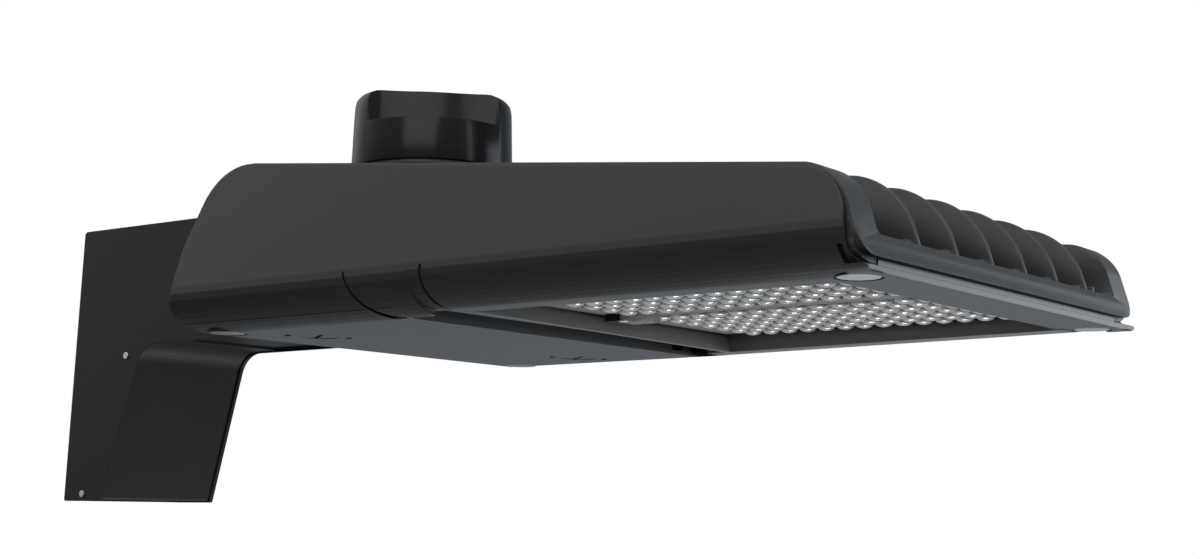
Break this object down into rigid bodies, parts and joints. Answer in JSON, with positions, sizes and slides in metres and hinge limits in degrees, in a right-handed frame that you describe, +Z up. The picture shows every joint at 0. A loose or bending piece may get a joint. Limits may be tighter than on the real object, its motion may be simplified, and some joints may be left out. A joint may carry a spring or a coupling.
{
  "type": "led area light",
  "caption": "Wall-mounted LED area light: wedge-shaped die-cast head with a finned nose and lensed LED strips underneath, a round light control on top and a folded arm bracket.",
  "frame": {"origin": "centre of the bracket's flat back, on the wall plane", "axes": "+X out from the wall along the arm to the nose of the head; +Z up; +Y across the head, to its left when one looks from the wall to the nose"},
  "size_m": [0.7695, 0.34, 0.2555],
  "materials": {
    "powder_coat": "fine-textured satin powder coat",
    "powder_coat_casting": "fine-textured satin powder coat",
    "powder_coat_door": "fine-textured satin powder coat",
    "gasket_rubber": "matte",
    "powder_coat_latch": "satin powder coat",
    "cap_metal": "turned, satin",
    "zinc_steel": "zinc plated",
    "retainer_plastic": "fine matte texture",
    "clear_optic": "clear moulded acrylic",
    "board_mask": "white solder mask",
    "black_nylon": "matte",
    "wire_insulation": "satin",
    "driver_case": "white painted steel case",
    "terminal_plastic": "matte",
    "gloss_black": "polished",
    "contact_brass": "plain",
    "bracket_coat": "satin powder coat",
    "earth_green": "green passivated"
  },
  "bodies": {
    "root": {"outer_shell": "powder_coat", "heat_sink": "powder_coat_casting", "driver_door": "powder_coat_door", "door_gasket": "gasket_rubber", "door_latches": "powder_coat_latch", "corner_caps": "cap_metal", "corner_nuts": "zinc_steel", "chamber_gasket": "gasket_rubber", "optic_retainer": "retainer_plastic", "lens_strip_near": "clear_optic", "lens_strip_far": "clear_optic", "led_board_near": "board_mask", "led_board_far": "board_mask", "led_connector": "black_nylon", "connector_cover": "clear_optic", "led_lead": "wire_insulation", "driver_tray": "zinc_steel", "led_driver": "driver_case", "surge_protector": "black_nylon", "terminal_block": "terminal_plastic", "tray_screws": "zinc_steel", "vent_plug": "black_nylon", "receptacle": "black_nylon", "receptacle_gasket": "gasket_rubber", "control_cap": "gloss_black", "control_contacts": "contact_brass", "wall_plate": "bracket_coat", "wire_grommet": "gasket_rubber", "side_plate_near": "bracket_coat", "side_plate_far": "bracket_coat", "front_panel": "bracket_coat", "arm_cover": "bracket_coat", "arm_floor": "bracket_coat", "arm_end_plate": "bracket_coat", "head_gasket": "gasket_rubber", "head_bolts": "zinc_steel", "panel_screws": "zinc_steel", "earth_screw": "earth_green"}
  },
  "joints": []
}
